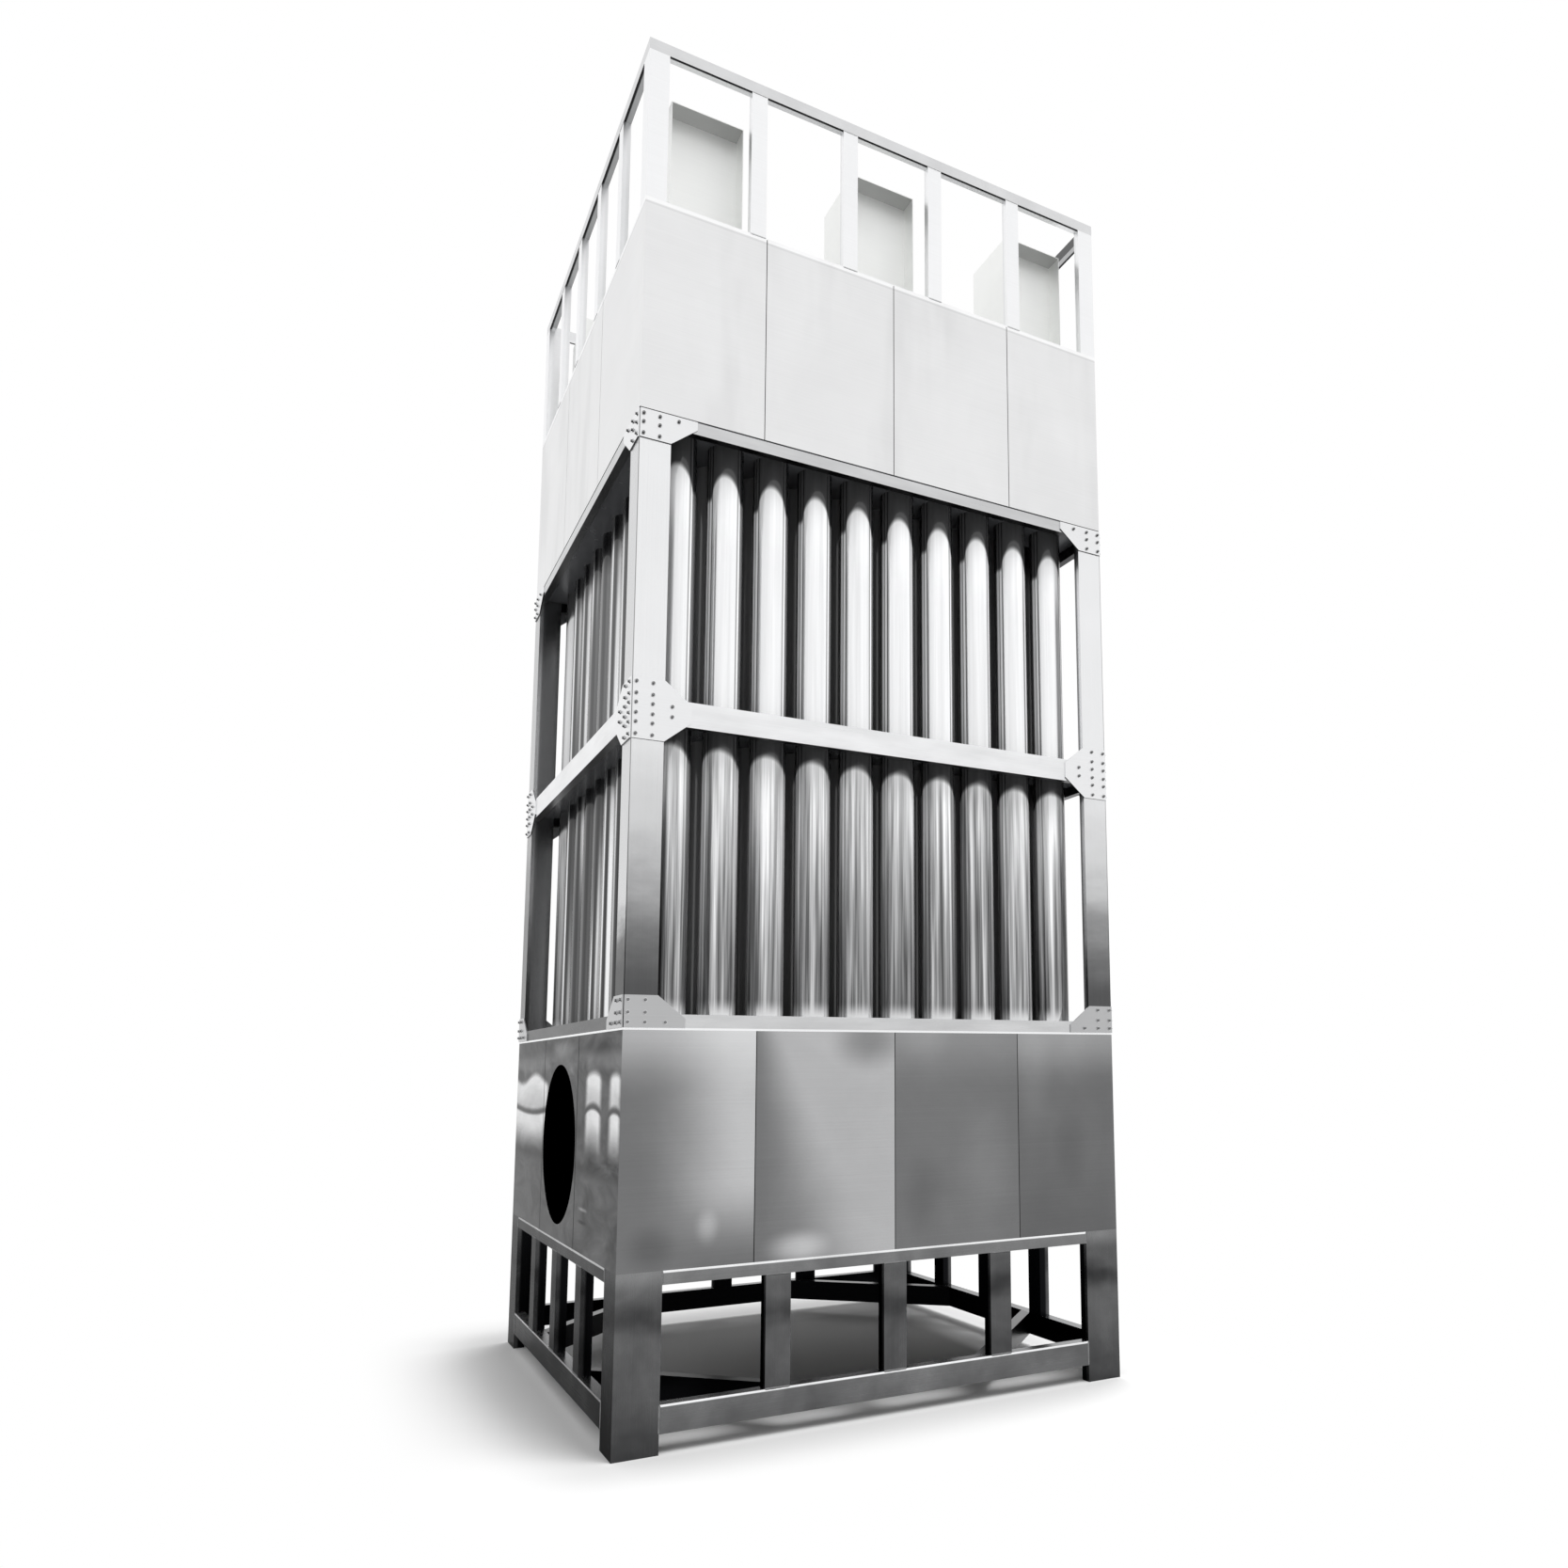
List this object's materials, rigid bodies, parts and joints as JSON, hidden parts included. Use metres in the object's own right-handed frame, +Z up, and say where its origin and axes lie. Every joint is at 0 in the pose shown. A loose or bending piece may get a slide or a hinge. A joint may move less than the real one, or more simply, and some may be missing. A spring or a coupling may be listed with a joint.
{
  "type": "exhaust gas treatment unit",
  "caption": "Tall stainless tower that cleans exhaust gas: an open base, a casing with a round side inlet, two open storeys of upright tubes, an upper casing and an open roof frame.",
  "frame": {"origin": "middle of the unit's plan, on the ground", "axes": "+Z up, -Y out of the front, -X out of the side with the gas inlet"},
  "size_m": [2.662, 2.582, 6.615],
  "materials": {
    "base_steel": "brushed, in shade",
    "lower_casing_steel": "mill finish with cloudy reflections",
    "flange_steel": "brushed",
    "plate_steel": "mill finish",
    "frame_steel": "brushed",
    "tube_steel": "polished, drawn lengthwise",
    "gusset_steel": "brushed",
    "upper_casing_steel": "fine matte brushed",
    "top_steel": "fine matte brushed"
  },
  "bodies": {
    "root": {"base_feet": "base_steel", "base_corner_posts": "base_steel", "base_bottom_rails": "base_steel", "base_top_rails": "base_steel", "base_mid_posts": "base_steel", "base_corner_braces": "base_steel", "casing_floor": "plate_steel", "lower_casing_front": "lower_casing_steel", "lower_casing_back": "lower_casing_steel", "lower_casing_left": "lower_casing_steel", "lower_casing_right": "lower_casing_steel", "lower_casing_flange": "flange_steel", "lower_module_bottom_beams": "frame_steel", "lower_module_columns": "frame_steel", "lower_module_top_beams": "frame_steel", "upper_module_bottom_beams": "frame_steel", "upper_module_columns": "frame_steel", "upper_module_top_beams": "frame_steel", "lower_tube_sheet": "plate_steel", "middle_guide_plate": "plate_steel", "upper_tube_sheet": "plate_steel", "tube_row_1": "tube_steel", "tube_row_2": "tube_steel", "tube_row_3": "tube_steel", "tube_row_4": "tube_steel", "tube_row_5": "tube_steel", "tube_row_6": "tube_steel", "tube_row_7": "tube_steel", "tube_row_8": "tube_steel", "tube_row_9": "tube_steel", "tube_row_10": "tube_steel", "gussets_lower": "gusset_steel", "gussets_middle": "gusset_steel", "gussets_upper": "gusset_steel", "upper_casing_front": "upper_casing_steel", "upper_casing_back": "upper_casing_steel", "upper_casing_left": "upper_casing_steel", "upper_casing_right": "upper_casing_steel", "roof_plate": "upper_casing_steel", "top_corner_posts": "top_steel", "top_mid_posts": "top_steel", "top_beams": "top_steel", "insulator_boxes_front": "top_steel", "insulator_boxes_back": "top_steel"}
  },
  "joints": []
}
